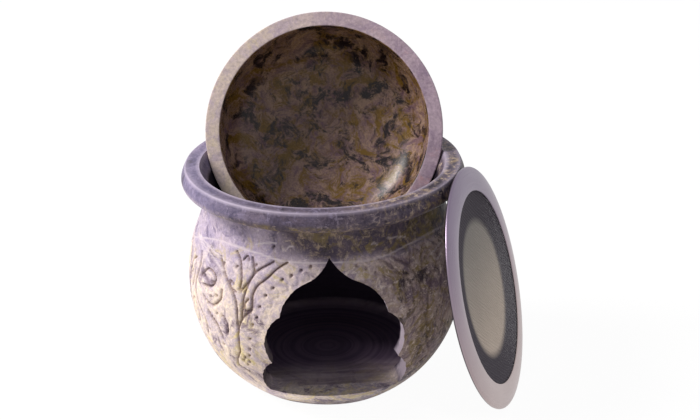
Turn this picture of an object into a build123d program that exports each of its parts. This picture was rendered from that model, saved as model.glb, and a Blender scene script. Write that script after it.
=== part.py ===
from build123d import *
import os
from math import asin, cos, degrees, radians, sin, sqrt

# A soapstone oil burner: a turned pot with a lobed doorway for a tealight, the
# oil bowl that stands tilted in its mouth, and an incense sieve that leans on
# the lip. Origin at the middle of the pot's base, +Z up, the doorway faces -Y.
# Lengths are millimetres and angles are degrees.

# Pot: outside
pot_height = 82.0
belly_radius = 49.5
belly_height = 41.7
neck_draw = 7.5
neck_lean = 5.0
lip_overhang = 8.0
lip_height = 9.5
lip_round = 4.3
lip_flare = 61.0
foot_radius = 29.0
foot_flare = 55.5

# Pot: inside, and the tapered mouth that takes the bowl or the sieve
wall = 5.4
neck_wall = 3.3
floor_thickness = 9.0
floor_radius = 30.0
floor_flare = 50.0
lip_width = 6.6
mouth_taper = 2.3
mouth_depth = 4.0

# Doorway: an ogee arch over two lobes on each side, its jambs drawn in towards the back.
# The outline's shares are of half its width and of its height above the sill.
arch_width = 50.0
arch_height = 55.0
arch_back_width = 36.0
apex_bend_shares = (0.14, 0.915)
apex_flank_shares = (0.33, 0.855)
shoulder_shares = (0.615, 0.765)
upper_cusp_shares = (0.76, 0.63)
middle_lobe_shares = (1.0, 0.43)
lower_cusp_shares = (0.91, 0.285)
lower_lobe_shares = (1.085, 0.13)
sill_end_shares = (1.0, 0.0)

# Carving: the main gouged lines of one quarter of the wall, a band round the arch and a tree beside it.
# Each point's shares are of a quarter turn from the doorway's middle and of the neck's height.
gouge_radius = 0.8
gouge_depth = 0.7
band_top_shares = ((0.224, 0.854), (0.273, 0.821), (0.313, 0.779))
band_shoulder_shares = ((0.332, 0.761), (0.364, 0.731), (0.383, 0.684), (0.383, 0.623))
band_side_shares = ((0.396, 0.599), (0.420, 0.578), (0.449, 0.534), (0.467, 0.473), (0.479, 0.367))
band_foot_shares = ((0.491, 0.343), (0.520, 0.297), (0.527, 0.257), (0.471, 0.234))
trunk_shares = ((0.467, 0.559), (0.467, 0.607), (0.482, 0.657), (0.550, 0.738), (0.611, 0.807))
branch_shares = ((0.437, 0.593), (0.431, 0.655), (0.413, 0.727), (0.379, 0.793), (0.294, 0.850))
upright_shares = ((0.456, 0.697), (0.452, 0.738), (0.463, 0.788), (0.482, 0.829), (0.513, 0.858))
upper_leaf_shares = ((0.737, 0.677), (0.680, 0.730), (0.611, 0.709), (0.636, 0.659), (0.709, 0.643))
lower_leaf_shares = ((0.704, 0.586), (0.639, 0.560), (0.571, 0.611), (0.561, 0.666))
stem_shares = ((0.79, 0.77), (0.767, 0.717), (0.792, 0.607), (0.778, 0.524), (0.717, 0.441), (0.732, 0.359))

# Oil bowl: part of a ball outside, flat rim, rounded hollow
bowl_margin = 0.9
bowl_rim_width = 5.5
bowl_hollow_depth = 21.0
bowl_foot_radius = 13.0
bowl_tilt = 62.0
bowl_turn = -7.0

# Sieve: a domed ring of sheet steel, folded back under itself to hold a shallow dish of wire cloth
sieve_margin = 0.65
sheet = 0.5
flange_width = 8.4
crown_radius = 22.0
crown_inset = 1.7
hem_width = 5.0
hem_clearance = 0.05
cloth_thickness = 0.4
cloth_brim_inset = 2.5
cloth_dip = 1.3
cloth_flat_radius = 23.5
cloth_pitch = 4.0
cloth_gap = 2.8
sieve_lean = 14.4
sieve_bearing = -20.1
sieve_slip = -5.5

seat_clearance = 0.3
overrun = 5.0
seat_steps = 12
seat_tries = 8
wall_halvings = 24

neck_radius = belly_radius - neck_draw
neck_height = pot_height - lip_height
lip_radius = neck_radius + lip_overhang
mouth_radius = lip_radius - lip_width
throat_radius = mouth_radius - mouth_taper
throat_height = pot_height - mouth_depth


def heading(angle):
    """Unit direction in a section of radius and height, turned outwards from straight up by the angle."""
    return (sin(radians(angle)), cos(radians(angle)))


def flow(start, end, start_angle, end_angle):
    """Smooth curve between two section points that leaves and arrives at the given headings."""
    return Spline(start, end, tangents=[heading(start_angle), heading(end_angle)])


def turned(edges):
    """Solid turned about the Z axis from the edges of a closed section of radius and height."""
    section = make_face(Curve() + edges)
    return revolve(Plane.XZ * section, Axis.Z)


# Pot, turned: rounded belly, flared lip with a rolled edge, tapered mouth and hollow chamber
foot = (foot_radius, 0)
belly = (belly_radius, belly_height)
neck = (neck_radius, neck_height)
lip_side = (lip_radius, pot_height - lip_round)
lip_top = (lip_radius - lip_round, pot_height)
mouth = (mouth_radius, pot_height)
throat = (throat_radius, throat_height)
waist = (neck_radius - neck_wall, neck_height)
chamber = (belly_radius - wall, belly_height)
floor_end = (floor_radius, floor_thickness)
pot_outside = [
    Line((0, 0), foot),
    flow(foot, belly, foot_flare, 0),
    flow(belly, neck, 0, -neck_lean),
    flow(neck, lip_side, lip_flare, 0),
    RadiusArc(lip_side, lip_top, -lip_round),
    Line(lip_top, mouth),
]
pot_inside = [
    Line(mouth, throat),
    Line(throat, waist),
    flow(waist, chamber, 180 - neck_lean, 180),
    flow(chamber, floor_end, 180, 180 + floor_flare),
    Line(floor_end, (0, floor_thickness)),
    Line((0, floor_thickness), (0, 0)),
]
blank = turned(pot_outside + pot_inside)


def arch_face(width, distance):
    """Face of the doorway's outline, at a width, on an upright plane that far in front of the axis."""

    def at(shares, side):
        return (side * shares[0] * width / 2, floor_thickness + shares[1] * arch_height)

    edges = [Line(at(sill_end_shares, -1), at(sill_end_shares, 1))]
    for side in (-1, 1):
        corners = [(0, 1), apex_flank_shares, upper_cusp_shares, lower_cusp_shares, sill_end_shares]
        bulges = [apex_bend_shares, shoulder_shares, middle_lobe_shares, lower_lobe_shares]
        for start, bulge, end in zip(corners, bulges, corners[1:]):
            edges.append(ThreePointArc(at(start, side), at(bulge, side), at(end, side)))
    return Plane.XZ.offset(distance) * make_face(Curve() + edges)


# Doorway, cut from in front of the lip back to the pot's axis
jamb_front = max(lip_radius, belly_radius) + overrun
jamb_draw = (arch_width - arch_back_width) / belly_radius
arch_front_width = arch_back_width + jamb_draw * jamb_front
doorway = loft([arch_face(arch_front_width, jamb_front), arch_face(arch_back_width, 0)], ruled=True)


def wall_radius(height):
    """Radius of the pot's outside at a height below the neck, found by halving along its curve."""
    curve = pot_outside[1] if height < belly_height else pot_outside[2]
    low, high = 0, 1
    for halving in range(wall_halvings):
        middle = (low + high) / 2
        if (curve @ middle).Y < height:
            low = middle
        else:
            high = middle
    return (curve @ low).X


def gouge(line_shares, side, face):
    """Round groove along a line of the carving, on the left or right side and the front or back face."""
    points = []
    for turn_share, height_share in line_shares:
        height = height_share * neck_height
        reach = wall_radius(height) + gouge_radius - gouge_depth
        across, ahead = heading(turn_share * 90)
        points.append((side * reach * across, face * reach * ahead, height))
    path = Spline(*points)
    return sweep(Plane(origin=path @ 0, z_dir=path % 0) * Circle(gouge_radius), path)


carving = [
    gouge(line_shares, side, face)
    for line_shares in (
        band_top_shares,
        band_shoulder_shares,
        band_side_shares,
        band_foot_shares,
        trunk_shares,
        branch_shares,
        upright_shares,
        upper_leaf_shares,
        lower_leaf_shares,
        stem_shares,
    )
    for side in (-1, 1)
    for face in (-1, 1)
]
burner_pot = blank - doorway - carving


# Oil bowl about its own axis, rim at zero height: level, its rim would lie flush with the pot's lip
bowl_radius = mouth_radius - bowl_margin
ball_rise = (bowl_radius**2 - throat_radius**2 - mouth_depth**2) / (2 * mouth_depth)
ball_radius = sqrt(bowl_radius**2 + ball_rise**2)
bowl_foot_height = ball_rise - sqrt(ball_radius**2 - bowl_foot_radius**2)
hollow_radius = bowl_radius - bowl_rim_width
bowl_foot = (bowl_foot_radius, bowl_foot_height)
bowl_edge = (bowl_radius, 0)
bowl = turned(
    [
        Line((0, bowl_foot_height), bowl_foot),
        RadiusArc(bowl_foot, bowl_edge, -ball_radius),
        Line(bowl_edge, (hollow_radius, 0)),
        flow((hollow_radius, 0), (0, -bowl_hollow_depth), 180, 270),
        Line((0, -bowl_hollow_depth), (0, bowl_foot_height)),
    ]
)

# The bowl's ball rests on the first ring of the mouth that it meets, whatever its tilt
ball_reach = ball_radius + seat_clearance
rings = [edge @ (step / seat_steps) for edge in pot_inside[:4] for step in range(seat_steps + 1)]
ball_height = max(ring.Y + sqrt(ball_reach**2 - ring.X**2) for ring in rings if ring.X < ball_reach)
bowl_axis = Vector(0, 0, 1).rotate(Axis.X, bowl_tilt).rotate(Axis.Z, bowl_turn)
bowl_origin = Vector(0, 0, ball_height) - bowl_axis * ball_rise
oil_bowl = Plane(origin=bowl_origin, z_dir=bowl_axis) * bowl


# Sieve flange about its own axis: skins curved about one centre, joined by a fold at the outer edge
sieve_radius = mouth_radius - sieve_margin
opening_radius = sieve_radius - flange_width
crown_place = opening_radius + crown_inset
fold_radius = (sheet + cloth_thickness) / 2 + hem_clearance
edge_radius = fold_radius + sheet / 2
fold_place = sieve_radius - edge_radius
cloth_curve = crown_radius - fold_radius
lower_curve = cloth_curve - fold_radius


def lean_at(place, curve):
    """Angle from upright at which a skin of that curve reaches a radius of the sieve."""
    return degrees(asin((place - crown_place) / curve))


def on_skin(curve, angle):
    """Section point at an angle on a skin of that curve, the crown of the upper skin at zero height."""
    across, up = heading(angle)
    return (crown_place + curve * across, curve * up - crown_radius)


def skin(curve, start_angle, end_angle):
    """Arc along a skin between two angles."""
    middle = (start_angle + end_angle) / 2
    return ThreePointArc(on_skin(curve, start_angle), on_skin(curve, middle), on_skin(curve, end_angle))


def fold(reach, angle):
    """Half circle at the outer edge, from the upper skin round to the lower one."""
    centre = Vector(*on_skin(cloth_curve, angle))
    outwards = Vector(*heading(angle + 90))
    return ThreePointArc(
        on_skin(cloth_curve + reach, angle), centre + outwards * reach, on_skin(cloth_curve - reach, angle)
    )


fold_angle = lean_at(fold_place, cloth_curve)
opening_angle = lean_at(opening_radius, crown_radius)
hem_angle = lean_at(sieve_radius - hem_width, lower_curve)
upper_skins = [crown_radius + sheet / 2, crown_radius - sheet / 2]
lower_skins = [lower_curve + sheet / 2, lower_curve - sheet / 2]
flange = turned(
    [
        skin(upper_skins[0], opening_angle, fold_angle),
        fold(edge_radius, fold_angle),
        skin(lower_skins[1], fold_angle, hem_angle),
        Line(on_skin(lower_skins[1], hem_angle), on_skin(lower_skins[0], hem_angle)),
        skin(lower_skins[0], hem_angle, fold_angle),
        fold(edge_radius - sheet, fold_angle),
        skin(upper_skins[1], fold_angle, opening_angle),
        Line(on_skin(upper_skins[1], opening_angle), on_skin(upper_skins[0], opening_angle)),
    ]
)

# Wire cloth: its brim lies in the flange's fold, its middle is pressed into a shallow dish of square gaps
brim_angle = lean_at(sieve_radius - cloth_brim_inset, cloth_curve)
rim_angle = lean_at(opening_radius, cloth_curve)
half_cloth = cloth_thickness / 2
dish_height = on_skin(cloth_curve, rim_angle)[1] - cloth_dip
cloth_top = cloth_curve + half_cloth
cloth_back = cloth_curve - half_cloth
dish = turned(
    [
        skin(cloth_top, brim_angle, rim_angle),
        Line(on_skin(cloth_top, rim_angle), (cloth_flat_radius, dish_height + half_cloth)),
        Line((cloth_flat_radius, dish_height + half_cloth), (0, dish_height + half_cloth)),
        Line((0, dish_height + half_cloth), (0, dish_height - half_cloth)),
        Line((0, dish_height - half_cloth), (cloth_flat_radius, dish_height - half_cloth)),
        Line((cloth_flat_radius, dish_height - half_cloth), on_skin(cloth_back, rim_angle)),
        skin(cloth_back, rim_angle, brim_angle),
        Line(on_skin(cloth_back, brim_angle), on_skin(cloth_top, brim_angle)),
    ]
)
gap_reach = opening_radius - (cloth_pitch - cloth_gap)
gap_count = 2 * int(gap_reach / cloth_pitch) + 1
gap_places = [
    place
    for place in GridLocations(cloth_pitch, cloth_pitch, gap_count, gap_count)
    if place.position.length + cloth_gap / sqrt(2) < gap_reach
]
gaps = Sketch() + [place * Rectangle(cloth_gap, cloth_gap) for place in gap_places]
cloth = dish - extrude(Plane.XY.offset(-overrun) * gaps, 2 * overrun)

# The sieve stands on the ground and leans outwards, its back against the pot
lean = radians(sieve_lean)
bearing = Vector(1, 0, 0).rotate(Axis.Z, sieve_bearing)
sideways = Vector(0, 1, 0).rotate(Axis.Z, sieve_bearing)
sieve_normal = bearing * cos(lean) + Vector(0, 0, sin(lean))
fold_height = on_skin(cloth_curve, fold_angle)[1]
sieve_height = fold_place * cos(lean) + edge_radius - fold_height * sin(lean)


def sieve_stand(distance):
    """Place of the sieve with its middle that far out from the pot's axis."""
    middle = bearing * distance + sideways * sieve_slip + Vector(0, 0, sieve_height)
    return Plane(origin=middle, x_dir=sideways, z_dir=sieve_normal).location


sieve_distance = max(lip_radius, belly_radius) + sieve_radius
for attempt in range(seat_tries):
    stand = sieve_stand(sieve_distance)
    room = min(blank.distance_to(stand * flange), blank.distance_to(stand * dish))
    sieve_distance -= room - seat_clearance
sieve_flange = sieve_stand(sieve_distance) * flange
sieve_mesh = sieve_stand(sieve_distance) * cloth

os.makedirs("parts", exist_ok=True)
nodes = {
    "burner_pot": burner_pot,
    "oil_bowl": oil_bowl,
    "sieve_flange": sieve_flange,
    "sieve_mesh": sieve_mesh,
}
for name, shape in nodes.items():
    export_step(shape, f"parts/{name}.step")
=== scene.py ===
import bpy
import numpy as np
from math import cos, radians, sin
from mathutils import Matrix, Vector


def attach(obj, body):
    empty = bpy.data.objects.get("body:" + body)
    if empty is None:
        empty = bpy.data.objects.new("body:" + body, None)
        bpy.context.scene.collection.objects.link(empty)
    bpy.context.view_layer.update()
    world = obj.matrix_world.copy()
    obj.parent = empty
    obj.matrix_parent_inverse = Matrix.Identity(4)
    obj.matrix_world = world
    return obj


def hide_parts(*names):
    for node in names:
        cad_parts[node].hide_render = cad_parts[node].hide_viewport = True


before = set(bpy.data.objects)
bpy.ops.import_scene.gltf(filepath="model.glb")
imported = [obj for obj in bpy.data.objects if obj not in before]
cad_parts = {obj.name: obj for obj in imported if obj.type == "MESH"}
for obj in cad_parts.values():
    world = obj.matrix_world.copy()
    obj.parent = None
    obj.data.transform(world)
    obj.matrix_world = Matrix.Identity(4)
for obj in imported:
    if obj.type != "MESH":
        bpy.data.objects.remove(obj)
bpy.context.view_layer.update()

# Burner pot: soapstone, turned to a round belly under a flared lip and hollowed from above.
# A lobed arch is sawn through its front for the tealight, and the trees, leaves and the
# dotted band beside the arch are cut by hand with gouge, drill and scriber.
BELLY = (0.0495, 0.0417)
NECK = (0.0420, 0.0725)
FOOT_RADIUS = 0.029
FLOOR = (0.030, 0.009)
ARCH_WIDTH, ARCH_BACK_WIDTH, ARCH_HEIGHT = 0.050, 0.036, 0.055
LIP_WIDEST, LIP_SHOULDER, LIP_TOP = (0.0499, 0.0784), (0.04865, 0.081607), 0.082
LIP_EDGE, LIP_EDGE_REACH = 0.0007, 0.048021
MOUTH, MOUTH_LEDGE, THROAT = 0.0434, (0.0411, 0.078), (0.0387, 0.0725)
CHAMBER_BELLY = (0.0441, 0.0417)
# Rows of the section: where the outer wall ends at the neck, and the chamber's first and last.
WALL_ROWS, MOUTH_ROW, FLOOR_ROW = 143, 172, 197
# Half width, depth and depth of the worn bed of each kind of cut, in millimetres.
GOUGE, SCRIBE, DRILL, NICK = (0.56, 0.74, 0.18), (0.36, 0.2, 0), (0.75, 1.0, 0.03), (0.5, 0.26, 0.05)
BED_SPREAD, MM_PER_DEGREE = 2.2, 0.83
SHARP_CORNER = radians(50)


def heading(angle):
    """Unit direction in a section of radius and height, turned outwards from straight up by the angle."""
    return np.array([sin(radians(angle)), cos(radians(angle))])


def flow(start, end, start_angle, end_angle, count):
    """Cubic Hermite curve between two section points. Each end tangent is as long as makes its radius
    and height parts add up to those of the chord."""
    start, end = np.array(start), np.array(end)
    t = np.linspace(0, 1, count, endpoint=False)[:, None]
    chord = np.abs(end - start).sum()
    leave, arrive = (
        heading(angle) * chord / np.abs(heading(angle)).sum() for angle in (start_angle, end_angle)
    )
    return (
        start * (2 * t**3 - 3 * t**2 + 1)
        + leave * (t**3 - 2 * t**2 + t)
        + end * (3 * t**2 - 2 * t**3)
        + arrive * (t**3 - t**2)
    )


def run(start, end, count):
    """Straight run of section points, without its end."""
    t = np.linspace(0, 1, count, endpoint=False)[:, None]
    return np.array(start) * (1 - t) + np.array(end) * t


def bend(centre, radius, start_angle, end_angle, count):
    """Arc of section points about a centre, angles as headings, without its end."""
    turn = np.radians(np.linspace(start_angle, end_angle, count, endpoint=False))
    return np.array(centre) + radius * np.stack([np.sin(turn), np.cos(turn)], axis=1)


pot_section = np.concatenate(
    [
        run((0, 0), (FOOT_RADIUS, 0), 3),
        flow((FOOT_RADIUS, 0), BELLY, 55.5, 0, 76),
        flow(BELLY, NECK, 0, -5, 64),
        flow(NECK, LIP_WIDEST, 61, -12, 14),
        flow(LIP_WIDEST, LIP_SHOULDER, -12, -26, 4),
        bend((LIP_EDGE_REACH, LIP_TOP - LIP_EDGE), LIP_EDGE, 64, 0, 6),
        run((LIP_EDGE_REACH, LIP_TOP), (MOUTH, LIP_TOP), 3),
        run((MOUTH, LIP_TOP), MOUTH_LEDGE, 2),
        run(MOUTH_LEDGE, THROAT, 3),
        flow(THROAT, CHAMBER_BELLY, 175, 180, 10),
        flow(CHAMBER_BELLY, FLOOR, 180, 230, 12),
        run(FLOOR, (0, FLOOR[1]), 4),
        [(0, FLOOR[1])],
    ]
)

# The ornament is drawn on the wall unrolled: degrees from the middle of the doorway and
# millimetres of height, for one quarter of the pot.
gouged_lines = [
    [(41.8, 36.2), (42, 40.5), (42, 44), (43.4, 47.6), (49.5, 53.5), (55, 58.5)],
    [(39.7, 40.4), (39.3, 43), (38.8, 47.5), (37.2, 52.7), (34.1, 57.5), (26.5, 61.6)],
    [(41, 50.5), (40.7, 53.5), (41.7, 57.1), (43.4, 60.1), (46.2, 62.2)],
    [(40.3, 50), (37.4, 53.5), (35.1, 56.5), (35.6, 58.9), (37, 61.7)],
    [(38.6, 60.6), (39.9, 61.8), (41.3, 60.4)],
    [(44.4, 51.8), (46.6, 52.5), (45.6, 50.2), (42.8, 49.3)],
    [(36.4, 48), (38.1, 46), (37.7, 43.5), (35.6, 44.4)],
    [(66.3, 49.1), (61.2, 52.9), (55, 51.4), (57.2, 47.8), (63.8, 46.6)],
    [(63.4, 42.5), (57.5, 40.6), (51.4, 44.3), (50.5, 48.3)],
    [(50.9, 38.8), (48.6, 37.2), (47.8, 34.8), (48.6, 32)],
    [(56.3, 27.8), (56.4, 25), (55.7, 22.8)],
    [(60.5, 37.5), (55, 34), (52.2, 29), (54.2, 32.6), (60, 36)],
    [(71, 56), (69, 52), (71.3, 44), (70, 38), (64.5, 32), (65.9, 26)],
    [(75, 53), (73.2, 47.5), (76, 42), (79, 46), (78, 51), (75, 53)],
    [(74, 38), (71.4, 33), (74, 28), (77.4, 31), (77, 36), (74, 38)],
    [(90, 55), (84, 50), (81, 44), (82, 36), (87, 28), (90, 24)],
    [(90, 44), (86.5, 40), (90, 36)],
]
band_edge = [
    (20.2, 61.9), (24.6, 59.5), (28.2, 56.5), (29.9, 55.2), (32.8, 53), (34.5, 49.6), (34.45, 45.2),
    (35.6, 43.4), (37.8, 41.9), (40.4, 38.7), (42, 34.3), (43.1, 26.6), (44.2, 24.9), (46.8, 21.5),
    (47.4, 18.6), (42.4, 17),
]
scribed_lines = [
    [(90, 55.5), (72, 60.6), (56, 63.5), (36.3, 63.7), (20.8, 62.3), (0, 62.4)],
    [(80.8, 59.8), (68.7, 57.0), (61, 54.8)],
    [(80.8, 59.8), (62, 57.5), (51.1, 54.7)],
    [(78, 60.2), (60, 58.9), (48, 57.6)],
    [(36, 66.4), (31, 67.4), (26, 67.9)],
    [(20.5, 66.5), (19.2, 67.4), (17.6, 67.1)],
]
drilled_dots = [
    (9.8, 61.1), (13.9, 59.8), (18, 57.9), (21.8, 56.4), (25.6, 53.3), (28.5, 50.5), (30.9, 46.3),
    (32.2, 42.3), (34.3, 39), (36.2, 33.2), (37.2, 28.7), (38.2, 25.7), (39.2, 22.6), (41, 20.8),
    (42.6, 22.4), (41.2, 24), (63.2, 50), (56.6, 49.4), (57.3, 44), (53.5, 45.4), (54, 38.6),
    (52.9, 26.4), (52, 57), (44.2, 57.6), (62, 29.5), (76.2, 47.6), (74.4, 33.4), (79, 54), (86, 47),
    (27, 66.6), (34.6, 59.6),
]
crescents = [
    (11.6, 57.7), (16.2, 56.1), (20.4, 53.9), (24.2, 51.4), (26.9, 47.9), (29, 43.6), (30.7, 39.7),
    (32.6, 35.8), (33.6, 31.2), (34.8, 27),
]


def drawn_curve(points, steps=6):
    """Catmull-Rom curve through the points of a line, as a closer row of points."""
    line = np.array(points, float)
    line = np.vstack([2 * line[0] - line[1], line, 2 * line[-1] - line[-2]])
    t = np.linspace(0, 1, steps, endpoint=False)[:, None]
    a, b, c, d = (line[i : len(line) - 3 + i, None] for i in range(4))
    curve = b + (c - a) * t / 2
    curve = curve + (a - 2.5 * b + 2 * c - d / 2) * t**2 + (1.5 * (b - c) + (d - a) / 2) * t**3
    return np.vstack([curve.reshape(-1, 2), line[-2]])


def off_line(line, across, up):
    """Least distance from each place on the unrolled wall to the segments of a line, in millimetres."""
    line = line * [MM_PER_DEGREE, 1]
    gap = np.full(across.shape, 9.0)
    for start, end in zip(line, line[1:]):
        side = end - start
        along = ((across - start[0]) * side[0] + (up - start[1]) * side[1]) / max(side @ side, 1e-9)
        along = np.clip(along, 0, 1)
        aside, above = across - start[0] - along * side[0], up - start[1] - along * side[1]
        gap = np.minimum(gap, np.hypot(aside, above))
    return gap


def wall_carving(x, y, z):
    """Depth of the carving, its cut mask and its scribed mask at places on the wall.
    A cut's section is 1 - (gap / half width)^2, in a wide shallow bed; the quarter that is
    drawn repeats round the pot, wavering by a degree and a millimetre as a hand does."""
    around = np.degrees(np.arctan2(x, -y))
    up = z * 1000 + 0.25 * np.sin(np.radians(around * 3 + 40)) * (around > 0)
    folded = np.abs(around)
    folded = np.where(folded > 90, 180 - folded, folded)
    folded = folded + 0.3 * np.sin(up * 0.17 + around * 0.02) * ((around > 0) | (around < -90))
    across = folded * MM_PER_DEGREE
    depth, cut, scribed = np.zeros(x.shape), np.zeros(x.shape), np.zeros(x.shape)

    def carve(gap, half, deep, bed, mask):
        section = np.clip(1 - (gap / half) ** 2, 0, 1)
        np.maximum(depth, deep * section + bed * np.exp(-((gap / BED_SPREAD) ** 2)), out=depth)
        np.maximum(mask, section, out=mask)

    for points in gouged_lines + [band_edge]:
        carve(off_line(drawn_curve(points), across, up), *GOUGE, cut)
    for points in scribed_lines:
        carve(off_line(drawn_curve(points), across, up), *SCRIBE, scribed)
    for place in drilled_dots:
        carve(np.hypot(across - place[0] * MM_PER_DEGREE, up - place[1]), *DRILL, cut)
    faint = np.zeros(x.shape)
    for centre in crescents:
        turn = np.linspace(-1.9, 0.9, 7)
        bow = np.stack([centre[0] - 1.7 * np.cos(turn), centre[1] + 1.4 * np.sin(turn)], axis=1)
        carve(off_line(bow, across, up), *NICK, faint)
    worn = np.where(around > 4, 0.55, 1.0) * np.clip((72 - z * 1000) / 1.5, 0, 1)
    return depth * worn * 0.001, cut * worn, np.maximum(scribed * worn, 0.3 * faint)


def turned_mesh(name, grid, ring=False):
    """Mesh of a grid of rows by columns whose columns close round. A ring's last row joins its
    first; otherwise each end row is one pole, closed by a fan."""
    rows, columns = grid.shape[:2]
    step = np.arange(columns)
    after = np.roll(step, -1)
    base = np.arange(rows if ring else rows - 3)[:, None] * columns
    above = np.roll(base, -1, axis=0) if ring else base + columns
    faces = np.stack([base + step, base + after, above + after, above + step], axis=-1).reshape(-1, 4)
    if ring:
        points, faces = grid.reshape(-1, 3), faces.tolist()
    else:
        points = np.vstack([grid[0, :1], grid[1:-1].reshape(-1, 3), grid[-1, :1]])
        last = len(points) - 1
        low = np.stack([np.zeros_like(step), after + 1, step + 1], axis=-1)
        high = np.stack([np.full_like(step, last), step + last - columns, after + last - columns], axis=-1)
        faces = (faces + 1).tolist() + low.tolist() + high.tolist()
    mesh = bpy.data.meshes.new(name)
    mesh.from_pydata(points.tolist(), [], faces)
    return mesh


def new_piece(mesh):
    """Object of a mesh, in the scene, with smooth faces and sharp corners."""
    piece = bpy.data.objects.new(mesh.name, mesh)
    bpy.context.collection.objects.link(piece)
    mesh.shade_smooth()
    mesh.set_sharp_from_angle(angle=SHARP_CORNER)
    return piece


turn = np.linspace(-np.pi, np.pi, 480, endpoint=False)
turn = turn - 0.35 * np.sin(turn)
radius, height = pot_section[:, :1], pot_section[:, 1:]
outside = (np.arange(len(pot_section)) < WALL_ROWS)[:, None]
outer = outside * np.clip((0.070 - height) / 0.012, 0, 1)
uneven = 0.00012 * np.sin(3 * turn + 90 * height) + 0.00010 * np.sin(7 * turn - 210 * height)
radius = radius + outer * (radius > 0.02) * uneven
x, y, z = radius * np.sin(turn), -radius * np.cos(turn), height + 0 * turn
carved = wall_carving(x, y, z)[0] * outside * (height > 0.012)
left_over = 1 - carved / np.maximum(radius, 0.02)
x, y = x * left_over, y * left_over
pot = new_piece(turned_mesh("carved_pot", np.stack([x, y, z], axis=-1)))


def lobe(start, middle, end, count):
    """Arc through three points as a row of points without its end: the circle's centre is where the
    two chords' perpendicular halves meet."""
    start, middle, end = (np.array(p, float) for p in (start, middle, end))
    sides = np.array([middle - start, end - start])
    centre = start + np.linalg.solve(2 * sides, (sides**2).sum(axis=1))
    spokes = np.array([start, middle, end]) - centre
    turns = np.unwrap(np.arctan2(spokes[:, 1], spokes[:, 0]))
    sweep = np.linspace(turns[0], turns[2], count, endpoint=False)
    return centre + np.linalg.norm(spokes[0]) * np.stack([np.cos(sweep), np.sin(sweep)], axis=1)


def mesh_points(mesh):
    """The mesh's points as an array of rows."""
    flat = np.empty(len(mesh.vertices) * 3)
    mesh.vertices.foreach_get("co", flat)
    return flat.reshape(-1, 3)


def add_mask(mesh, name, values, on="POINT"):
    """Number from 0 to 1 at each point or face of the mesh, for its material to read."""
    mesh.attributes.new(name, "FLOAT", on).data.foreach_set("value", np.clip(values, 0, 1))


# Doorway: an ogee arch over two lobes on each side, in shares of its half width and height,
# sawn from the front and narrower at the back.
arch_shares = [
    (1, 0), (1.085, 0.13), (0.91, 0.285), (1.0, 0.43), (0.76, 0.63), (0.615, 0.765), (0.33, 0.855), (0.14, 0.915), (0, 1),
]
APEX_SHIFT, SILL_GAP = 0.0013, 0.00003
arch_places = np.array(arch_shares) * (ARCH_WIDTH / 2, ARCH_HEIGHT)
half_arch = np.concatenate([lobe(*arch_places[i : i + 3], 18) for i in (0, 2, 4, 6)])
arch = np.concatenate([half_arch, [(0, ARCH_HEIGHT)], (half_arch * [-1, 1])[::-1]])
reach = np.linspace(0.055, 0, 24)
widths = ARCH_BACK_WIDTH + (ARCH_WIDTH - ARCH_BACK_WIDTH) * reach / BELLY[0]
saw, depths = np.arange(len(arch))[None, :], reach[:, None]
waver = 1 + 0.006 * np.sin(saw * 0.9 + depths * 900) + 0.005 * np.sin(saw * 2.3 - depths * 500)
cut_x = arch[:, 0] * widths[:, None] / ARCH_WIDTH * waver - APEX_SHIFT * (arch[:, 1] / ARCH_HEIGHT) ** 4
cut_z = FLOOR[1] + SILL_GAP + arch[:, 1] + 0 * cut_x
cut_y = -reach[:, None] + 0 * cut_x
front = np.stack([cut_x, cut_y, cut_z], axis=-1)
ends = [np.broadcast_to(front[i].mean(axis=0), front[i].shape)[None] for i in (0, -1)]
cutter = new_piece(turned_mesh("doorway_cut", np.concatenate([ends[0], front, ends[1]])[:, ::-1]))
add_mask(pot.data, "sawn", np.zeros(len(pot.data.polygons)), "FACE")
add_mask(cutter.data, "sawn", np.ones(len(cutter.data.polygons)), "FACE")
sawing = pot.modifiers.new("doorway", "BOOLEAN")
sawing.operation, sawing.solver, sawing.object = "DIFFERENCE", "EXACT", cutter
cut_pot = bpy.data.meshes.new_from_object(pot.evaluated_get(bpy.context.evaluated_depsgraph_get()))
pot.modifiers.clear()
pot.data = cut_pot
cut_pot.name = "carved_pot"
bpy.data.objects.remove(cutter)
cut_pot.shade_smooth()
cut_pot.set_sharp_from_angle(angle=SHARP_CORNER)

places = mesh_points(cut_pot)
reached = np.hypot(places[:, 0], places[:, 1])
wall_radius = np.interp(places[:, 2], *pot_section[3:WALL_ROWS, ::-1].T)
deep_in = wall_radius - reached
on_wall = (deep_in < 0.0022) & (places[:, 2] < 0.072) & (places[:, 2] > 0.001)
cut, scribed = wall_carving(*places.T)[1:]
add_mask(cut_pot, "cut", cut * on_wall)
add_mask(cut_pot, "scribed", scribed * on_wall)
# Chamber walls, which the material paints dark as shade.
chamber_radius = np.interp(places[:, 2], *pot_section[FLOOR_ROW : MOUTH_ROW - 1 : -1, ::-1].T)
in_chamber = np.clip((chamber_radius + 0.0009 - reached) / 0.0006, 0, 1)
add_mask(cut_pot, "inside", in_chamber * (places[:, 2] < 0.0775) * (places[:, 2] > 0.0095))
# Thin lines on the lip's ridge and along the mouth's edge, which the material makes pale: wear and a painted
# highlight.
wear_and_sheen = np.minimum(np.abs(reached - 0.0484) / 0.0007, np.abs(reached - MOUTH) / 0.0005)
add_mask(cut_pot, "wear_and_sheen", (1 - wear_and_sheen) * (places[:, 2] > 0.0811))
on_floor = (places[:, 2] > 0.0085) * (places[:, 2] < 0.0115) * np.clip((deep_in - 0.005) / 0.004, 0, 1)
add_mask(cut_pot, "floor", on_floor)
# Floor further back in the chamber, which the material darkens as painted shade.
add_mask(cut_pot, "floor_shade", on_floor * np.clip((places[:, 1] + 0.033) / 0.020, 0, 1))


def shade(red, green, blue):
    """Linear colour of a screen colour given from 0 to 255."""
    part = np.array([red, green, blue]) / 255
    return (*np.where(part <= 0.04045, part / 12.92, ((part + 0.055) / 1.055) ** 2.4), 1)


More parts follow.
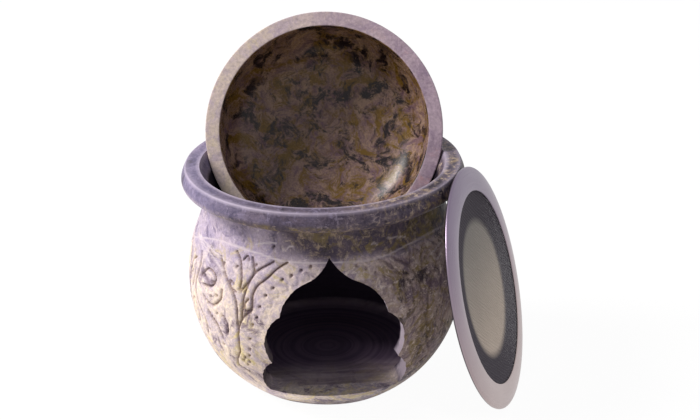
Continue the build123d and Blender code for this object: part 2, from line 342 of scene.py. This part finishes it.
def add_node(tree, kind, inputs=(), **settings):
    """Node of a kind with its settings; each input is a value, or a socket to link from."""
    node = tree.nodes.new(kind)
    for name, value in settings.items():
        setattr(node, name, value)
    for name, value in dict(inputs).items():
        if isinstance(value, bpy.types.NodeSocket):
            tree.links.new(value, node.inputs[name])
        else:
            node.inputs[name].default_value = value
    return node


def mix_colours(tree, share, first, second, blend="MIX"):
    """Colour socket that goes from the first colour to the second by a share."""
    inputs = {0: share, 6: first, 7: second}
    return add_node(tree, "ShaderNodeMix", inputs, data_type="RGBA", blend_type=blend).outputs[2]


def ramp_up(tree, value, low, high):
    """Value socket that rises smoothly from 0 at low to 1 at high."""
    inputs = {0: value, 1: low, 2: high}
    return add_node(tree, "ShaderNodeMapRange", inputs, interpolation_type="SMOOTHSTEP").outputs[0]


def maths(tree, operation, *values):
    """Value socket of one operation on values or sockets."""
    return add_node(tree, "ShaderNodeMath", enumerate(values), operation=operation).outputs[0]


def between(tree, share, first, second):
    """Value socket that goes from the first value to the second by a share."""
    return add_node(tree, "ShaderNodeMapRange", {0: share, 3: first, 4: second}).outputs[0]


def stone_group():
    """Soapstone as clouds of two tones under a warped noise, with warm and dark patches where other
    noises pass a threshold, then short pale scratches and fine flecks; it puts out colour and grain."""
    group = bpy.data.node_groups.new("soapstone", "ShaderNodeTree")
    face = group.interface
    face.new_socket("Place", in_out="INPUT", socket_type="NodeSocketVector")
    for name in ("Pale", "Tint", "Warm", "Dark", "Scratch"):
        face.new_socket(name, in_out="INPUT", socket_type="NodeSocketColor")
    for name in ("Warm share", "Dark share", "Scratch share"):
        face.new_socket(name, in_out="INPUT", socket_type="NodeSocketFloat")
    face.new_socket("Colour", in_out="OUTPUT", socket_type="NodeSocketColor")
    face.new_socket("Grain", in_out="OUTPUT", socket_type="NodeSocketFloat")
    come = group.nodes.new("NodeGroupInput").outputs

    def noise(place, scale, detail, rough=0.6, stir=0.0):
        inputs = {"Vector": place, "Scale": scale, "Detail": detail, "Roughness": rough, "Distortion": stir}
        return add_node(group, "ShaderNodeTexNoise", inputs).outputs

    def moved(place, shift, stretch=(1, 1, 1), turn=(0, 0, 0)):
        return add_node(group, "ShaderNodeMapping", {0: place, 1: shift, 2: turn, 3: stretch}).outputs[0]

    def patches(noisy, share, colour, patch, soft=0.11):
        low = maths(group, "SUBTRACT", 0.74, share)
        high = maths(group, "ADD", low, soft)
        return mix_colours(group, ramp_up(group, noisy, low, high), colour, patch)

    sway = noise(come["Place"], 38, 3)["Color"]
    bent = add_node(group, "ShaderNodeVectorMath", {0: sway, 1: (0.022, 0.022, 0.022), 2: come["Place"]},
                    operation="MULTIPLY_ADD").outputs[0]
    clouds = noise(bent, 130, 9, 0.84, 0.5)["Fac"]
    warm = noise(moved(bent, (3, 1, 2)), 80, 9, 0.78, 0.7)["Fac"]
    dark = noise(moved(bent, (1, 5, 4)), 75, 10, 0.76, 0.5)["Fac"]
    level = noise(moved(come["Place"], (2, 2, 5), (0.65, 0.65, 1.3)), 520, 6, 0.72)["Fac"]
    upright = noise(moved(come["Place"], (7, 3, 1), (1.1, 1.1, 0.55), (0.5, 0.3, 0)), 480, 6, 0.72)["Fac"]
    streaks = maths(group, "MAXIMUM", level, upright)
    flecks = noise(come["Place"], 900, 4, 0.7)["Fac"]
    colour = mix_colours(group, ramp_up(group, clouds, 0.40, 0.62), come["Pale"], come["Tint"])
    colour = patches(warm, come["Warm share"], colour, come["Warm"])
    colour = patches(dark, come["Dark share"], colour, come["Dark"])
    colour = patches(streaks, come["Scratch share"], colour, come["Scratch"], 0.14)
    tone = add_node(group, "ShaderNodeMapRange", {0: flecks, 1: 0.25, 2: 0.75, 3: 0.68, 4: 1.26}).outputs[0]
    colour = mix_colours(group, 1.0, colour, tone, "MULTIPLY")
    give = group.nodes.new("NodeGroupOutput").inputs
    group.links.new(colour, give["Colour"])
    grain = maths(group, "MULTIPLY_ADD", flecks, 0.35, clouds)
    group.links.new(grain, give["Grain"])
    return group


soapstone = stone_group()


def new_material(name):
    """Material with an empty Principled shader; gives its tree and the shader."""
    material = bpy.data.materials.new(name)
    material.use_nodes = True
    return material, material.node_tree, material.node_tree.nodes["Principled BSDF"]


pot_stone, tree, shader = new_material("pot_soapstone")
place = add_node(tree, "ShaderNodeTexCoord").outputs["Object"]
axes = add_node(tree, "ShaderNodeSeparateXYZ", {0: place}).outputs
drift = add_node(tree, "ShaderNodeTexNoise", {"Vector": place, "Scale": 45, "Detail": 4}).outputs["Fac"]
sidelong = maths(tree, "MULTIPLY_ADD", drift, 0.05, axes["X"])
# Share towards the right side, where every zone darkens: partly the stone's own colour, partly painted shade away
# from the lamp.
right = ramp_up(tree, sidelong, -0.016, 0.050)
slant = maths(tree, "MULTIPLY_ADD", axes["Z"], 1.5, sidelong)
beyond = ramp_up(tree, slant, 0.092, 0.118)
rise = maths(tree, "MULTIPLY_ADD", drift, 0.012, axes["Z"])
shoulder = ramp_up(tree, rise, 0.053, 0.071)
neck = ramp_up(tree, rise, 0.0655, 0.0705)
dusky = maths(tree, "MULTIPLY", beyond, neck)
lip = ramp_up(tree, axes["Z"], 0.0765, 0.0785)
dark_lip = ramp_up(tree, sidelong, -0.020, 0.014)
# Near the bottom every zone turns to paler foot colours: painted light standing in for light bounced up from the
# white table.
low = ramp_up(tree, axes["Z"], 0.014, 0.005)
patched_lip = ramp_up(tree, sidelong, 0.018, 0.044)


def zoned(left_wall, right_wall, left_neck, right_neck, left_lip, right_lip, foot_painted_bounce, lip_share=dark_lip):
    """Colour by place on the pot: wall, neck, lip and foot, paler on the left than on the right. That difference,
    darkest at the neck on the right, is partly the stone's own colour and partly painted light on the lamp's side
    and painted shade on the other; the pale foot colours are painted light bounced up from the table.
    """
    wall = mix_colours(tree, right, shade(*left_wall), shade(*right_wall))
    throat = mix_colours(tree, mix_colours(tree, right, shoulder, neck), wall, shade(*left_neck))
    throat = mix_colours(tree, dusky, throat, shade(*right_neck))
    edge = mix_colours(tree, lip_share, shade(*left_lip), shade(*right_lip))
    upper = mix_colours(tree, lip, throat, edge)
    return mix_colours(tree, low, upper, shade(*foot_painted_bounce))


flecked = between(tree, right, 0.15, 0.19)
stone = add_node(
    tree,
    "ShaderNodeGroup",
    {
        "Place": place,
        "Pale": zoned(
            (240, 222, 202), (176, 157, 149), (188, 173, 188), (88, 75, 86),
            (134, 124, 152), (98, 86, 100), (250, 236, 222),
        ),
        "Tint": zoned(
            (196, 181, 194), (100, 83, 99), (156, 144, 172), (58, 49, 65),
            (98, 91, 120), (56, 48, 66), (184, 169, 192),
        ),
        "Warm": zoned(
            (228, 210, 160), (128, 110, 72), (186, 170, 150), (114, 98, 60),
            (84, 76, 96), (142, 122, 96), (248, 230, 182), patched_lip,
        ),
        "Dark": zoned(
            (136, 118, 132), (50, 38, 47), (122, 110, 136), (38, 30, 40),
            (70, 63, 86), (43, 35, 47), (128, 112, 132),
        ),
        "Scratch": zoned(
            (240, 229, 218), (208, 192, 182), (216, 204, 212), (148, 130, 112),
            (124, 114, 138), (174, 155, 138), (255, 250, 246), patched_lip,
        ),
        "Warm share": between(tree, dark_lip, 0.2, 0.245),
        "Dark share": 0.22,
        "Scratch share": between(tree, dusky, flecked, 0.215),
    },
    node_tree=soapstone,
).outputs
colour = stone["Colour"]
masks = {
    name: add_node(tree, "ShaderNodeAttribute", attribute_name=name).outputs["Fac"]
    for name in ("cut", "scribed", "inside", "sawn", "wear_and_sheen", "floor", "floor_shade")
}
# Cuts and drilled holes are darkened towards brown: painted shade in the grooves.
groove_shade = maths(tree, "MULTIPLY", masks["cut"], 0.85)
colour = mix_colours(tree, groove_shade, colour, mix_colours(tree, 1.0, colour, shade(132, 108, 100), "MULTIPLY"))
# Pale lines on the lip's ridge and mouth edge: worn stone and a painted highlight.
worn_edge_sheen = maths(tree, "MULTIPLY", masks["wear_and_sheen"], drift)
colour = mix_colours(tree, worn_edge_sheen, colour, shade(206, 194, 214))
chalk = maths(tree, "MULTIPLY", masks["scribed"], 0.7)
colour = mix_colours(tree, chalk, colour, shade(214, 202, 206))
spun_place = add_node(tree, "ShaderNodeMapping", {0: place, 3: (30, 60, 900)}).outputs[0]
lathe = add_node(tree, "ShaderNodeTexNoise", {"Vector": spun_place, "Scale": 1, "Detail": 4}).outputs["Fac"]
smoothed = add_node(tree, "ShaderNodeMapRange", {0: axes["Z"], 1: 0.009, 2: 0.013, 3: 0.1, 4: 0.85}).outputs[0]
# Sawn faces show fresh pale stone; on the left jamb, turned away from the lamp, they are painted dark as shade.
shaded_left_jamb = mix_colours(tree, ramp_up(tree, axes["X"], -0.012, 0.004), shade(62, 52, 60), shade(214, 200, 216))
fresh = mix_colours(tree, smoothed, colour, shaded_left_jamb)
colour = mix_colours(tree, masks["sawn"], colour, fresh)
# Chamber walls: dark, darkest higher up, as painted shade where little light comes in through the doorway; the
# lathe's rings run through it.
shade_rising = ramp_up(tree, axes["Z"], 0.026, 0.046)
chamber_shade = mix_colours(tree, shade_rising, shade(52, 43, 58), shade(18, 14, 22))
chamber_shade = mix_colours(tree, lathe, chamber_shade, mix_colours(tree, shade_rising, shade(74, 62, 80), shade(26, 21, 31)))
colour = mix_colours(tree, masks["inside"], colour, chamber_shade)
sawn_place = add_node(tree, "ShaderNodeMapping", {0: place, 2: (0, 0, 0.2), 3: (60, 420, 60)}).outputs[0]
scrapes = add_node(tree, "ShaderNodeTexNoise", {"Vector": sawn_place, "Scale": 1, "Detail": 5}).outputs["Fac"]
level_place = add_node(tree, "ShaderNodeMapping", {0: place, 3: (1, 1, 0)}).outputs[0]
from_axis = add_node(tree, "ShaderNodeVectorMath", {0: level_place}, operation="LENGTH").outputs["Value"]
ring_inputs = {"W": from_axis, "Scale": 420, "Detail": 5}
rings = add_node(tree, "ShaderNodeTexNoise", ring_inputs, noise_dimensions="1D").outputs["Fac"]
# Back of the chamber floor: darker, with the lathe's rings; the darkening is painted shade.
shaded_floor = mix_colours(tree, ramp_up(tree, rings, 0.35, 0.65), shade(82, 69, 90), shade(104, 88, 108))
soil = mix_colours(tree, ramp_up(tree, scrapes, 0.35, 0.65), shade(158, 137, 144), shade(232, 214, 222))
colour = mix_colours(tree, masks["floor"], colour, mix_colours(tree, 0.6, stone["Colour"], soil))
colour = mix_colours(tree, masks["floor_shade"], colour, shaded_floor)
bump_inputs = {"Strength": 0.35, "Distance": 0.0004, "Height": stone["Grain"]}
bumps = add_node(tree, "ShaderNodeBump", bump_inputs).outputs[0]
rough = between(tree, neck, 0.62, 0.54)
# Less gloss where the chamber's walls and floor carry painted shade.
shade_painted_inside = maths(tree, "MAXIMUM", masks["inside"], masks["floor_shade"])
gloss = between(tree, shade_painted_inside, 0.25, 0.05)
finish = {"Base Color": colour, "Normal": bumps, "Roughness": rough, "Specular IOR Level": gloss}
for name, socket in finish.items():
    tree.links.new(socket, shader.inputs[name])
cut_pot.materials.clear()
cut_pot.materials.append(pot_stone)
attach(pot, "pot")
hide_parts("burner_pot")

# Oil bowl: turned from the same soapstone, a ball outside with a small flat foot and a flat rim.
# Its hollow is polished dark by wax and oil; it stands tilted in the pot's mouth by its weight.
BOWL_RADIUS, BOWL_RIM, BOWL_DEPTH, BOWL_FOOT = 0.0425, 0.0055, 0.021, 0.013
BALL_RISE, BALL_RADIUS, BALL_HEIGHT = 0.01263, 0.044337, 0.095414
EDGE, OUTER_EDGE = 0.0007, 0.0003
BOWL_TILT, BOWL_YAW, HOLLOW_ROW = 62, -7, 80
foot_height = BALL_RISE - (BALL_RADIUS**2 - BOWL_FOOT**2) ** 0.5
edge_reach = ((BALL_RADIUS - OUTER_EDGE) ** 2 - (BALL_RISE + OUTER_EDGE) ** 2) ** 0.5
skirt = np.degrees(np.arcsin(edge_reach / (BALL_RADIUS - OUTER_EDGE)))
foot_turn = np.degrees(np.arcsin(BOWL_FOOT / BALL_RADIUS))
hollow_radius = BOWL_RADIUS - BOWL_RIM
bowl_section = np.concatenate(
    [
        run((0, foot_height), (BOWL_FOOT, foot_height), 4),
        bend((0, BALL_RISE), BALL_RADIUS, 180 - foot_turn, 180 - skirt, 60),
        bend((edge_reach, -OUTER_EDGE), OUTER_EDGE, 180 - skirt, 0, 6),
        run((edge_reach, 0), (hollow_radius + EDGE, 0), 8),
        bend((hollow_radius + EDGE, -EDGE), EDGE, 0, -80, 5),
        flow((hollow_radius, -EDGE), (0, -BOWL_DEPTH), 180, 270, 70),
        [(0, -BOWL_DEPTH)],
    ]
)
tilt, yaw = radians(BOWL_TILT), radians(BOWL_YAW)
bowl_axis = np.array([sin(yaw) * sin(tilt), -cos(yaw) * sin(tilt), cos(tilt)])
bowl_across = np.array([cos(yaw), sin(yaw), 0])
bowl_middle = np.array([0, 0, BALL_HEIGHT]) - bowl_axis * BALL_RISE
turn = np.linspace(0, 2 * np.pi, 256, endpoint=False)
radius, height = bowl_section[:, :1, None], bowl_section[:, 1:, None]
bowl_spokes = np.cos(turn)[:, None] * bowl_across + np.sin(turn)[:, None] * np.cross(bowl_axis, bowl_across)
bowl_grid = bowl_middle + radius * bowl_spokes + height * bowl_axis
bowl_mesh = turned_mesh("turned_bowl", bowl_grid)
bowl = new_piece(bowl_mesh)
hollow = (np.arange(len(bowl_section)) >= HOLLOW_ROW) * 1.0
add_mask(bowl_mesh, "hollow", np.concatenate([[0], np.repeat(hollow[1:-1], len(turn)), [1]]))

bowl_stone, tree, shader = new_material("bowl_soapstone")
place = add_node(tree, "ShaderNodeTexCoord").outputs["Object"]
shifted = add_node(tree, "ShaderNodeMapping", {0: place, 1: (0.31, 0.12, 0.57)}).outputs[0]
# The rim is paler and creamier on the left, pinker and darker on the right: partly the stone's own colour, partly
# painted light from the lamp on the left.
rightward = ramp_up(tree, add_node(tree, "ShaderNodeSeparateXYZ", {0: place}).outputs["X"], -0.03, 0.04)
rim_stone = add_node(
    tree,
    "ShaderNodeGroup",
    {
        "Place": shifted,
        "Pale": mix_colours(tree, rightward, shade(207, 190, 178), shade(180, 160, 172)),
        "Tint": mix_colours(tree, rightward, shade(182, 166, 176), shade(148, 128, 146)),
        "Warm": mix_colours(tree, rightward, shade(204, 188, 168), shade(176, 140, 148)),
        "Dark": mix_colours(tree, rightward, shade(160, 146, 166), shade(130, 112, 136)),
        "Scratch": shade(214, 202, 204),
        "Warm share": 0.22,
        "Dark share": 0.15,
        "Scratch share": 0.04,
    },
    node_tree=soapstone,
).outputs
polished = add_node(
    tree,
    "ShaderNodeGroup",
    {
        "Place": add_node(tree, "ShaderNodeMapping", {0: shifted, 3: (1.5, 1.5, 1.5)}).outputs[0],
        "Pale": shade(150, 126, 106),
        "Tint": shade(94, 70, 82),
        "Warm": shade(106, 81, 26),
        "Dark": shade(27, 17, 21),
        "Scratch": shade(170, 142, 104),
        "Warm share": 0.27,
        "Dark share": 0.26,
        "Scratch share": 0.13,
    },
    node_tree=soapstone,
).outputs
in_hollow = add_node(tree, "ShaderNodeAttribute", attribute_name="hollow").outputs["Fac"]
# The hollow's colour turns darker and more olive towards its top.
topward = ramp_up(tree, add_node(tree, "ShaderNodeSeparateXYZ", {0: place}).outputs["Z"], 0.078, 0.118)
hollow_tone = mix_colours(tree, topward, (1.06, 1.04, 1.12, 1), (0.84, 0.76, 0.6, 1))
hollow_tone = mix_colours(tree, 1.0, polished["Colour"], hollow_tone, "MULTIPLY")
colour = mix_colours(tree, in_hollow, rim_stone["Colour"], hollow_tone)
waxed = add_node(tree, "ShaderNodeMapRange", {0: polished["Grain"], 1: 0.45, 2: 0.9, 3: 0.17, 4: 0.38}).outputs[0]
rough = between(tree, in_hollow, 0.6, waxed)
bump_inputs = {"Strength": 0.12, "Distance": 0.0002, "Height": rim_stone["Grain"]}
bumps = add_node(tree, "ShaderNodeBump", bump_inputs).outputs[0]
for name, socket in (("Base Color", colour), ("Normal", bumps), ("Roughness", rough)):
    tree.links.new(socket, shader.inputs[name])
shader.inputs["Specular IOR Level"].default_value = 0.22
bowl_mesh.materials.append(bowl_stone)
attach(bowl, "bowl")
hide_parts("oil_bowl")

# Sieve flange: a ring of sheet steel spun to a low dome, its outer edge folded back under
# itself to grip the wire cloth; it stands on the ground and leans on the pot's lip.
SIEVE_RADIUS, OPENING, SHEET = 0.04275, 0.03435, 0.0005
CROWN_RADIUS, CROWN_PLACE = 0.022, 0.03605
CLOTH_CURVE, FOLD = 0.0215, 0.0005
HEM = 0.005
SIEVE_LEAN, SIEVE_BEARING = 14.4, -20.1
SIEVE_OUT, SIEVE_ASIDE, SIEVE_UP = 0.061289, -0.0055, 0.041764
fold_turn = np.degrees(np.arcsin((SIEVE_RADIUS - FOLD - SHEET / 2 - CROWN_PLACE) / CLOTH_CURVE))
opening_turn = np.degrees(np.arcsin((OPENING - CROWN_PLACE) / CROWN_RADIUS))
hem_turn = np.degrees(np.arcsin((SIEVE_RADIUS - HEM - CROWN_PLACE) / (CLOTH_CURVE - FOLD)))
skin_centre = (CROWN_PLACE, -CROWN_RADIUS)
fold_at = np.array(skin_centre) + CLOTH_CURVE * heading(fold_turn)
inner_edge = (OPENING, CROWN_RADIUS * cos(radians(opening_turn)) - CROWN_RADIUS)
flange_section = np.concatenate(
    [
        bend(skin_centre, CLOTH_CURVE - FOLD - SHEET / 2, hem_turn, fold_turn, 8),
        bend(fold_at, FOLD + SHEET / 2, fold_turn + 180, fold_turn, 14),
        bend(skin_centre, CROWN_RADIUS + SHEET / 2, fold_turn, opening_turn, 26),
        bend(inner_edge, SHEET / 2, opening_turn, opening_turn - 180, 6),
        bend(skin_centre, CROWN_RADIUS - SHEET / 2, opening_turn, fold_turn, 16),
        bend(fold_at, FOLD - SHEET / 2, fold_turn, fold_turn + 180, 8),
        bend(skin_centre, CLOTH_CURVE - FOLD + SHEET / 2, fold_turn, hem_turn, 8),
        [np.array(skin_centre) + (CLOTH_CURVE - FOLD + SHEET / 2) * heading(hem_turn)],
    ]
)
lean, bearing = radians(SIEVE_LEAN), radians(SIEVE_BEARING)
outwards = np.array([cos(bearing), sin(bearing), 0])
sieve_across = np.array([-sin(bearing), cos(bearing), 0])
sieve_axis = outwards * cos(lean) + np.array([0, 0, sin(lean)])
sieve_middle = outwards * SIEVE_OUT + sieve_across * SIEVE_ASIDE + np.array([0, 0, SIEVE_UP])


def stood_up(across, along, out):
    """Places on the leaning sieve from its own across, along and out distances."""
    return (
        sieve_middle
        + across[..., None] * sieve_across
        + along[..., None] * np.cross(sieve_axis, sieve_across)
        + out[..., None] * sieve_axis
    )


turn = np.linspace(0, 2 * np.pi, 240, endpoint=False)
radius, height = flange_section[:, :1], flange_section[:, 1:]
flange_grid = stood_up(radius * np.cos(turn), radius * np.sin(turn), height + 0 * turn)
flange_mesh = turned_mesh("spun_flange", flange_grid, ring=True)
flange = new_piece(flange_mesh)
flange_mesh.uv_layers.new(name="spun")
corners = np.empty(len(flange_mesh.loops), int)
flange_mesh.loops.foreach_get("vertex_index", corners)
spun = np.stack([corners % len(turn) / len(turn), corners // len(turn) / len(flange_section)], axis=1)
flange_mesh.uv_layers["spun"].data.foreach_set("uv", spun.ravel())

sieve_steel, tree, shader = new_material("spun_steel")
place = add_node(tree, "ShaderNodeTexCoord").outputs
ringed = add_node(tree, "ShaderNodeMapping", {0: place["UV"], 3: (3, 90, 1)}).outputs[0]
lines = add_node(tree, "ShaderNodeTexNoise", {"Vector": ringed, "Scale": 4, "Detail": 5}).outputs["Fac"]
smears = add_node(tree, "ShaderNodeTexNoise", {"Vector": place["Object"], "Scale": 60, "Detail": 5}).outputs["Fac"]
# The flange is paler and pinker low down: painted reflection of the white table.
upward = ramp_up(tree, add_node(tree, "ShaderNodeSeparateXYZ", {0: place["Object"]}).outputs["Z"], 0.005, 0.08)
colour = mix_colours(tree, smears, shade(166, 150, 150), shade(186, 170, 168))
colour = mix_colours(tree, upward, colour, mix_colours(tree, smears, shade(114, 102, 122), shade(132, 119, 138)))
# The fold's outer and back rows are painted dark: painted shade along the folded edge.
section = add_node(tree, "ShaderNodeSeparateXYZ", {0: place["UV"]}).outputs["Y"]
fold_start, fold_end = ramp_up(tree, section, 0.05, 0.09), ramp_up(tree, section, 0.19, 0.15)
folded = maths(tree, "MULTIPLY", fold_start, fold_end)
colour = mix_colours(tree, folded, colour, shade(52, 45, 52))
rough = add_node(tree, "ShaderNodeMapRange", {0: lines, 1: 0.3, 2: 0.7, 3: 0.26, 4: 0.4}).outputs[0]
bumps = add_node(tree, "ShaderNodeBump", {"Strength": 0.08, "Distance": 0.0001, "Height": lines}).outputs[0]
for name, socket in (("Base Color", colour), ("Normal", bumps), ("Roughness", rough)):
    tree.links.new(socket, shader.inputs[name])
shader.inputs["Metallic"].default_value = 1
flange_mesh.materials.append(sieve_steel)
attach(flange, "sieve")
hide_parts("sieve_flange")

# Wire cloth: fine steel wire, plain woven and pressed into a shallow dish with a flat middle.
# Its brim is gripped in the flange's fold; the warp and the weft are two sets of wires.
BRIM, FLAT_RADIUS, DIP = 0.04025, 0.0235, 0.0013
PITCH, WIRE, CRIMP, WEAVE_TURN = 0.00083, 0.00015, 0.00012, 6


def dish_height(reached):
    """Height of the cloth by its distance from the axis: level, then a slope, then the flange's curve."""
    rim = (CLOTH_CURVE**2 - (OPENING - CROWN_PLACE) ** 2) ** 0.5 - CROWN_RADIUS
    curve = np.sqrt(np.maximum(CLOTH_CURVE**2 - (reached - CROWN_PLACE) ** 2, 0)) - CROWN_RADIUS
    slope = rim - DIP * np.clip((OPENING - reached) / (OPENING - FLAT_RADIUS), 0, 1)
    return np.where(reached > OPENING, curve, slope)


def wire_set(name, turned, side):
    """One set of crimped wires: four-sided tubes a pitch apart, sampled at each crossing and halfway,
    that go over and under as plus or minus the cosine of half a turn for each crossing."""
    reach = int(BRIM / PITCH)
    wires = np.arange(-reach, reach + 1)[:, None]
    steps = np.arange(-2 * reach, 2 * reach + 1)[None, :]
    along, over = steps * PITCH / 2 + 0 * wires, wires * PITCH + 0 * steps
    inside = np.hypot(along, over) < BRIM
    reached = np.hypot(along, over)
    rise = side * CRIMP * np.cos(np.pi * (steps / 2 + wires)) * np.where(reached > OPENING, 0.6, 1)
    height = dish_height(reached) + rise
    ring = np.array([(0, -1), (1, 0), (0, 1), (-1, 0)]) * WIRE
    across_wire = over[..., None] + ring[:, 0]
    up_wire = height[..., None] + ring[:, 1]
    along_wire = along[..., None] + 0 * ring[:, 0]
    first, second = (along_wire, across_wire) if side > 0 else (-across_wire, along_wire)
    fold, swing = cos(radians(turned)), sin(radians(turned))
    points = stood_up(first * fold - second * swing, first * swing + second * fold, up_wire)
    number = np.arange(inside.size * 4).reshape(*inside.shape, 4)
    both = inside[:, :-1] & inside[:, 1:]
    near, far = number[:, :-1][both], number[:, 1:][both]
    sides = [near, far, np.roll(far, -1, axis=-1), np.roll(near, -1, axis=-1)]
    tubes = np.stack(sides, axis=-1).reshape(-1, 4)
    before = np.pad(inside, ((0, 0), (1, 0)))[:, :-1]
    behind = np.pad(inside, ((0, 0), (0, 1)))[:, 1:]
    caps = np.concatenate([number[inside & ~before], number[inside & ~behind][:, ::-1]])
    faces = np.concatenate([tubes, caps])
    used, faces = np.unique(faces, return_inverse=True)
    mesh = bpy.data.meshes.new(name)
    mesh.from_pydata(points.reshape(-1, 3)[used].tolist(), [], faces.reshape(-1, 4).tolist())
    out = reached[..., None] + 0 * ring[:, 0]
    # Mask of the dish's sloped ring, which the material darkens as painted shade.
    shaded_slope = np.clip((out.reshape(-1)[used] - FLAT_RADIUS) / 0.003 + 0.4, 0, 1)
    add_mask(mesh, "shaded_slope", shaded_slope)
    wires = new_piece(mesh)
    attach(wires, "sieve")
    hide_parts("sieve_mesh")
    return wires


cloth_wire, tree, shader = new_material("woven_wire")
place = add_node(tree, "ShaderNodeTexCoord").outputs["Object"]
stain = add_node(tree, "ShaderNodeTexNoise", {"Vector": place, "Scale": 70, "Detail": 4}).outputs["Fac"]
upward = ramp_up(tree, add_node(tree, "ShaderNodeSeparateXYZ", {0: place}).outputs["Z"], 0.015, 0.07)
level = mix_colours(tree, upward, shade(190, 176, 164), shade(136, 132, 128))
level = mix_colours(tree, stain, level, mix_colours(tree, 0.2, level, shade(96, 90, 88)))
# The dish's sloped ring is painted dark: painted shade on the dish's wall.
shaded_slope = add_node(tree, "ShaderNodeAttribute", attribute_name="shaded_slope").outputs["Fac"]
colour = mix_colours(tree, shaded_slope, level, shade(74, 69, 76))
tree.links.new(colour, shader.inputs["Base Color"])
shader.inputs["Metallic"].default_value = 0.85
shader.inputs["Roughness"].default_value = 0.42
for wires in (wire_set("cloth_warp", WEAVE_TURN, 1), wire_set("cloth_weft", WEAVE_TURN, -1)):
    wires.data.materials.append(cloth_wire)

# Stage: a white table that fades into a white room, kept plain, with the burner's own soft shadow.
# One broad lamp stands high on the left, and the room gives a weak even fill.
table = new_piece(bpy.data.meshes.new("table"))
table.data.from_pydata([(-4, -4, 0), (4, -4, 0), (4, 4, 0), (-4, 4, 0)], [], [(0, 1, 2, 3)])
table_white = bpy.data.materials.new("table_white")
table_white.use_nodes = True
tree = table_white.node_tree
tree.nodes.clear()


def seen_directly(tree):
    """Share that is 1 for rays from the camera, from gloss or through glass, and 0 for other light."""
    rays = add_node(tree, "ShaderNodeLightPath").outputs
    shiny = maths(tree, "MAXIMUM", rays["Is Glossy Ray"], rays["Is Transmission Ray"])
    return maths(tree, "MAXIMUM", rays["Is Camera Ray"], shiny)


matt = add_node(tree, "ShaderNodeBsdfDiffuse", {"Color": (0.9, 0.89, 0.88, 1)}).outputs[0]
glow = add_node(tree, "ShaderNodeEmission", {"Color": (1, 1, 1, 1), "Strength": 1.03}).outputs[0]
share = maths(tree, "MULTIPLY", seen_directly(tree), 0.93)
surface = add_node(tree, "ShaderNodeMixShader", {0: share, 1: matt, 2: glow}).outputs[0]
add_node(tree, "ShaderNodeOutputMaterial", {"Surface": surface})
table.data.materials.append(table_white)

room = bpy.data.worlds.new("white_room")
bpy.context.scene.world = room
room.use_nodes = True
tree = room.node_tree
tree.nodes.clear()
fill = add_node(tree, "ShaderNodeBackground", {"Color": (0.95, 0.94, 1.0, 1), "Strength": 0.33}).outputs[0]
white = add_node(tree, "ShaderNodeBackground", {"Color": (1, 1, 1, 1), "Strength": 1.0}).outputs[0]
sky = add_node(tree, "ShaderNodeMixShader", {0: seen_directly(tree), 1: fill, 2: white}).outputs[0]
add_node(tree, "ShaderNodeOutputWorld", {"Surface": sky})


def add_lamp(name, place, aim, size, power, colour):
    """Oblong lamp at a place that faces a point."""
    data = bpy.data.lights.new(name, "AREA")
    data.shape, data.energy, data.color = "RECTANGLE", power, colour
    data.size, data.size_y = size
    lamp = bpy.data.objects.new(name, data)
    bpy.context.collection.objects.link(lamp)
    facing = (Vector(place) - Vector(aim)).to_track_quat("Z", "Y").to_matrix().to_4x4()
    lamp.matrix_world = Matrix.Translation(place) @ facing


add_lamp("lamp_left", (-0.80, 0.05, 0.82), (0, 0, 0.06), (0.34, 0.46), 15.5, (1, 0.965, 0.93))

CAMERA_DISTANCE = 0.65
azimuth, elevation, roll = radians(-3.4), radians(24.58), radians(-1.55)
aim = Vector((0, 0, 0.04))
away = Vector((sin(azimuth) * cos(elevation), -cos(azimuth) * cos(elevation), sin(elevation)))
lens = bpy.data.cameras.new("camera")
lens.lens, lens.shift_x, lens.shift_y = 92.4, 0.035, 0.0839
camera = bpy.data.objects.new("camera", lens)
bpy.context.collection.objects.link(camera)
facing = away.to_track_quat("Z", "Y").to_matrix().to_4x4() @ Matrix.Rotation(roll, 4, "Z")
camera.matrix_world = Matrix.Translation(aim + away * CAMERA_DISTANCE) @ facing
bpy.context.scene.camera = camera
bpy.context.scene.view_settings.view_transform = "Standard"
